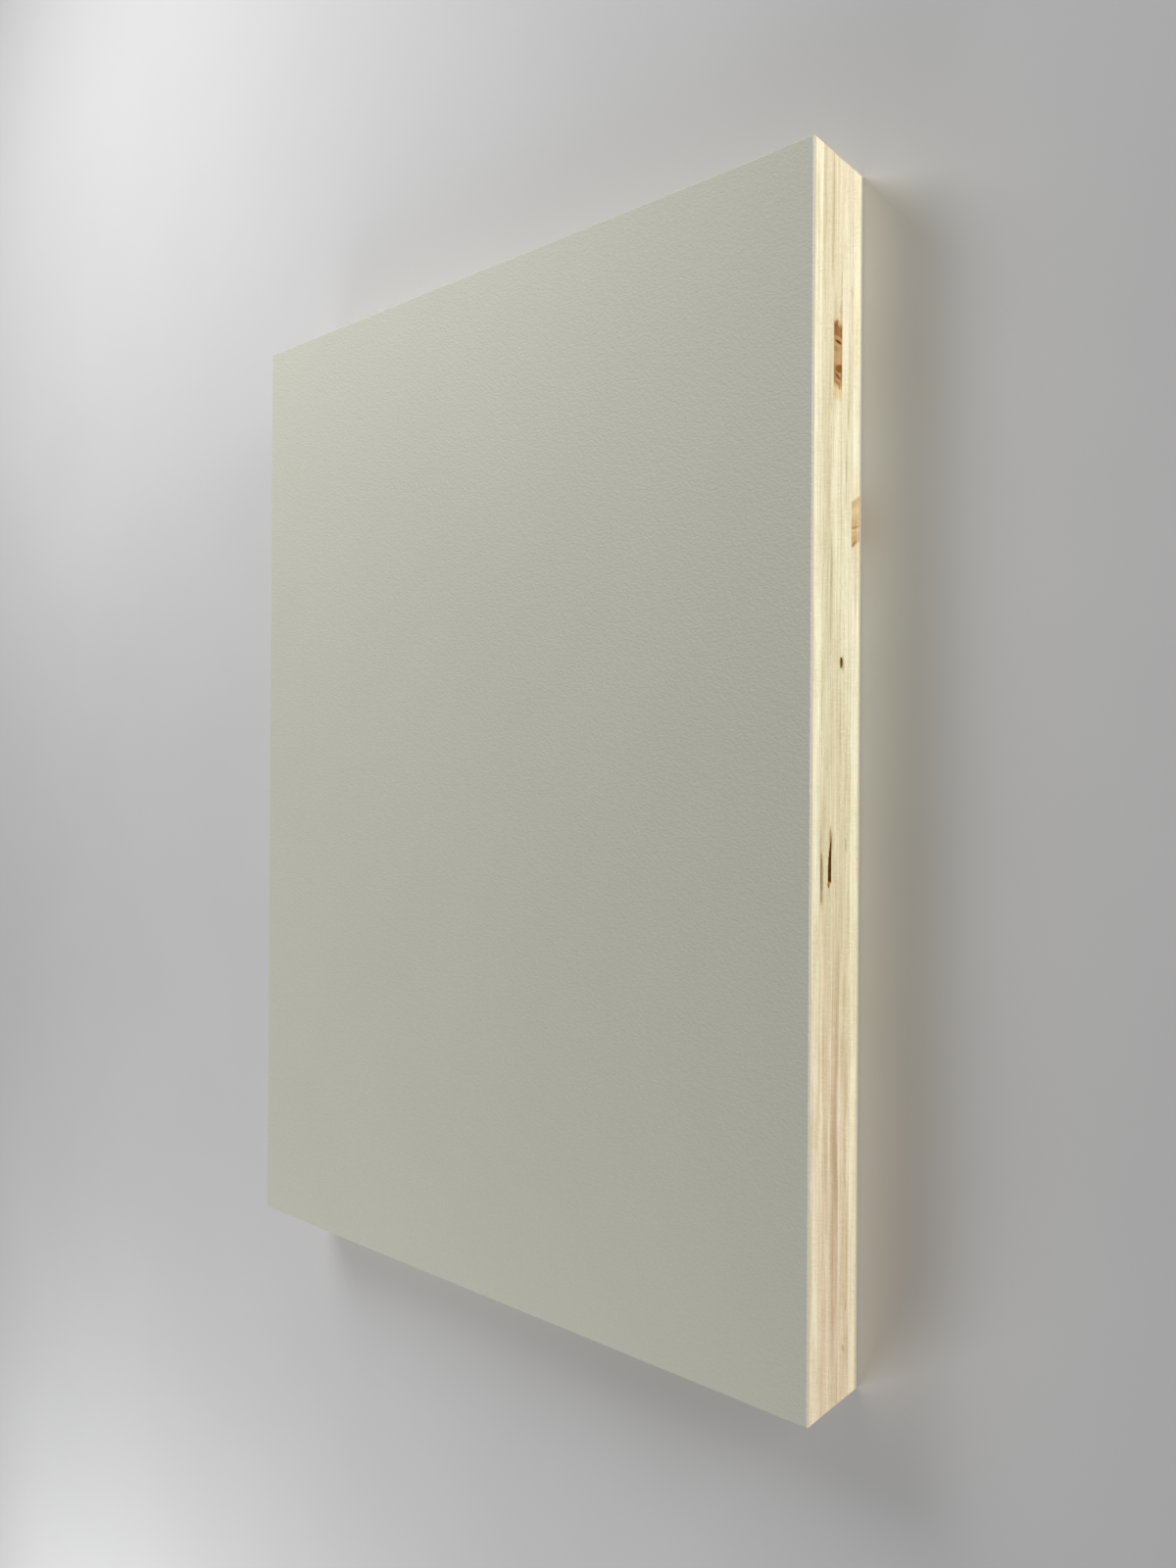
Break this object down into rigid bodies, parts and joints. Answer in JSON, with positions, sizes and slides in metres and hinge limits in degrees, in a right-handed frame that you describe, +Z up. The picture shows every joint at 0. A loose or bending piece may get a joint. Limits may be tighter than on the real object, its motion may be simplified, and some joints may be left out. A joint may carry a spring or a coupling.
{
  "type": "laminated plywood sheet",
  "caption": "Flat sawn plywood panel of cross-grained veneers with a matte white laminate on both faces and bare edges that show the plies, a building board for cutting, joining and shelving.",
  "frame": {"origin": "middle of the back face, which the sheet lies on", "axes": "+X across the sheet towards the sawn edge with the open voids, +Y along the sheet, +Z up through the thickness, out of the show face"},
  "size_m": [0.172, 0.24, 0.0194],
  "materials": {
    "laminate": "matte",
    "long_grain_veneer": "matte",
    "cross_grain_veneer": "matte"
  },
  "bodies": {
    "root": {"back_laminate": "laminate", "back_ply": "long_grain_veneer", "lower_crossband": "cross_grain_veneer", "core_ply": "long_grain_veneer", "upper_crossband": "cross_grain_veneer", "face_ply": "long_grain_veneer", "face_laminate": "laminate"}
  },
  "joints": []
}
